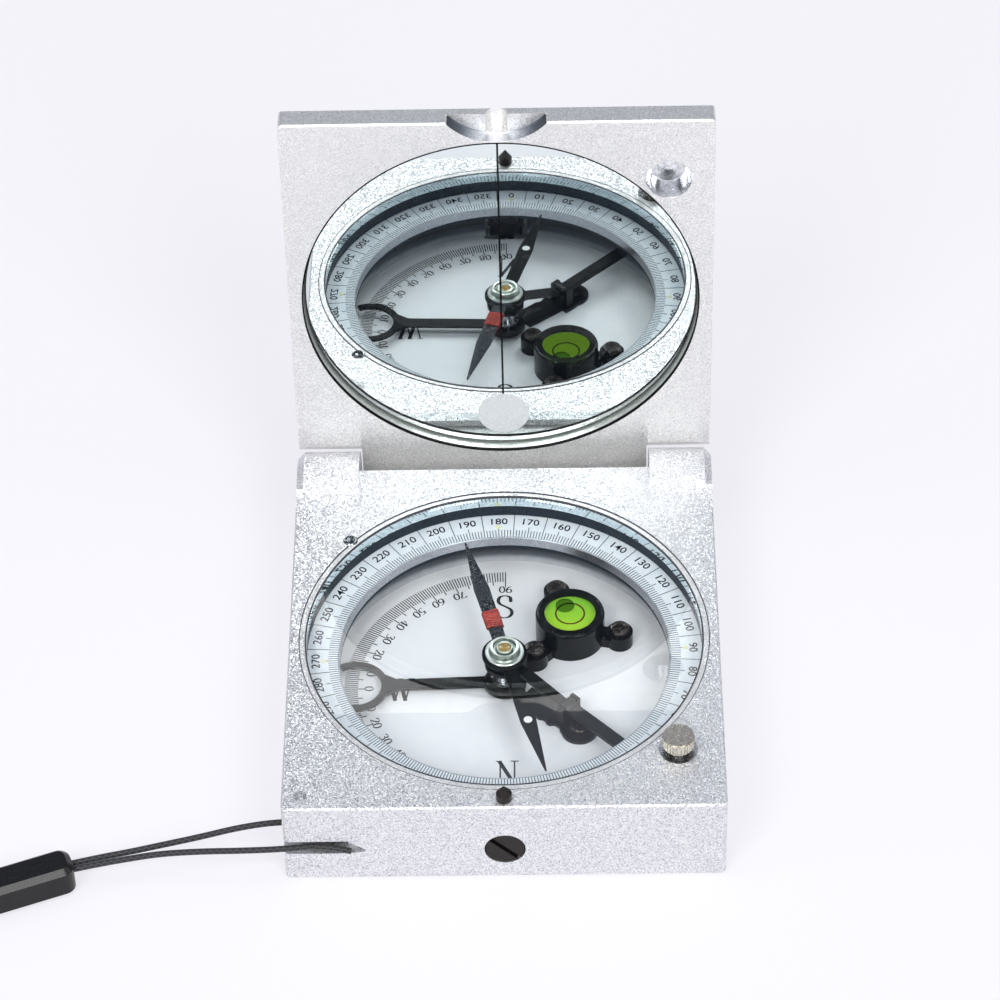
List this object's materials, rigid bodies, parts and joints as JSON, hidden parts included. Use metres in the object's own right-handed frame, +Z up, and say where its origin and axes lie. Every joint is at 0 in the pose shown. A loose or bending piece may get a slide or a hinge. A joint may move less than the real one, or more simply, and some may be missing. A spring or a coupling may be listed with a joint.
{
  "type": "geology compass",
  "caption": "Square metal pocket compass with hinged mirror lid, windowed needle chamber, turning degree ring, clinometer pointer, round level, needle brake and lanyard.",
  "frame": {"origin": "on the needle axis, at the underside of the case", "axes": "+Z up along the needle axis, +Y from the free edge to the hinge, +X to the right as it is read"},
  "size_m": [0.185, 0.1305, 0.0878],
  "materials": {
    "case_paint": "die-cast alloy, fine silver metallic paint, satin",
    "lid_paint": "die-cast alloy, fine silver metallic paint, satin",
    "mirror": "silvered float glass",
    "backing": "grey backing paint",
    "window": "clear, polished",
    "steel_bright": "bright turned",
    "nickel": "nickel plated, knurled",
    "black_metal": "satin black",
    "black_plastic": "gloss black moulding",
    "liner": "matt black",
    "white_print": "white with printed scale",
    "ring_print": "pale blue-white with printed scale",
    "alu": "turned",
    "brass": "turned",
    "level_green": "yellow-green liquid",
    "clear_glass": "clear",
    "jewel": "amber jewel",
    "copper": "red enamelled copper wire",
    "spring_steel": "bright wire",
    "cord_black": "braided nylon",
    "barrel_black": "smooth black",
    "rubber_black": "black gasket",
    "gear_brass": "machined"
  },
  "bodies": {
    "base": {"base_case": "case_paint", "dial_plate": "white_print", "window_glass": "window", "window_retaining_ring": "steel_bright", "window_gasket": "rubber_black", "chamber_liner": "liner", "index_stud": "black_metal", "pivot_post": "steel_bright", "pointer_retainer": "steel_bright", "level_housing": "black_plastic", "level_liquid": "level_green", "level_glass": "clear_glass", "level_screw_1": "black_metal", "level_screw_2": "black_metal", "level_screw_3": "black_metal", "lift_bracket": "black_metal", "bracket_screw": "black_metal", "fulcrum_pin": "steel_bright", "hinge_pin_left": "steel_bright", "hinge_pin_right": "steel_bright", "lanyard_pin": "steel_bright", "button_bush": "nickel", "button_spring": "spring_steel", "adjuster_bush": "brass", "lanyard_strand_a": "cord_black", "lanyard_strand_b": "cord_black", "lanyard_barrel": "barrel_black", "wrist_cord_lead": "cord_black", "wrist_cord_coil": "cord_black"},
    "lid": {"lid_frame": "lid_paint", "mirror_glass": "mirror", "mirror_backing": "backing"},
    "button": {"button_knob": "nickel", "button_rod": "steel_bright"},
    "lever": {"lift_lever": "black_metal"},
    "lifter": {"lift_collar": "steel_bright"},
    "needle": {"needle_blade": "black_metal", "needle_hub": "alu", "needle_jewel": "jewel", "needle_cap_ring": "alu", "counterweight_coil": "copper"},
    "pointer": {"clinometer_pointer": "black_metal"},
    "ring": {"azimuth_ring": "ring_print", "ring_gear": "gear_brass"},
    "adjuster": {"adjuster_screw": "black_metal", "adjuster_clip": "spring_steel", "adjuster_pinion": "black_metal"}
  },
  "joints": [
    {"name": "lid_hinge", "type": "hinge", "parent": "base", "child": "lid", "pos_m": [0, 0.039, 0.011], "axis": [-1, 0, 0], "range_deg": [-92.3, 25.7]},
    {"name": "button_press", "type": "slide", "parent": "base", "child": "button", "axis": [0, 0, -1], "range_m": [0, 0.0009], "stiffness_N_per_m": 700, "springref_m": -0.0012, "deforming": ["button_spring"]},
    {"name": "lever_tilt", "type": "hinge", "parent": "base", "child": "lever", "pos_m": [0.01052, -0.00767, 0.008], "axis": [0.7151, 0.6991, 0], "range_deg": [0, 2.04]},
    {"name": "lifter_rise", "type": "slide", "parent": "base", "child": "lifter", "axis": [0, 0, 1], "range_m": [0, 0.0004577]},
    {"name": "needle_spin", "type": "hinge", "parent": "lifter", "child": "needle", "pos_m": [0, 0, 0.01345], "axis": [0, 0, 1], "continuous": true},
    {"name": "pointer_swing", "type": "hinge", "parent": "base", "child": "pointer", "pos_m": [0, 0, 0.0057], "axis": [0, 0, 1], "range_deg": [-92, 88]},
    {"name": "ring_turn", "type": "hinge", "parent": "base", "child": "ring", "pos_m": [0, 0, 0.0126], "axis": [0, 0, 1], "continuous": true},
    {"name": "adjuster_turn", "type": "hinge", "parent": "base", "child": "adjuster", "pos_m": [0, -0.036, 0.00689], "axis": [0, 1, 0], "continuous": true}
  ],
  "couplings": [
    {"joint": "lever_tilt", "follows": "button_press", "rad_per_m": 39.216},
    {"joint": "lifter_rise", "follows": "button_press", "ratio": 0.50347},
    {"joint": "adjuster_turn", "follows": "ring_turn", "ratio": 10}
  ]
}
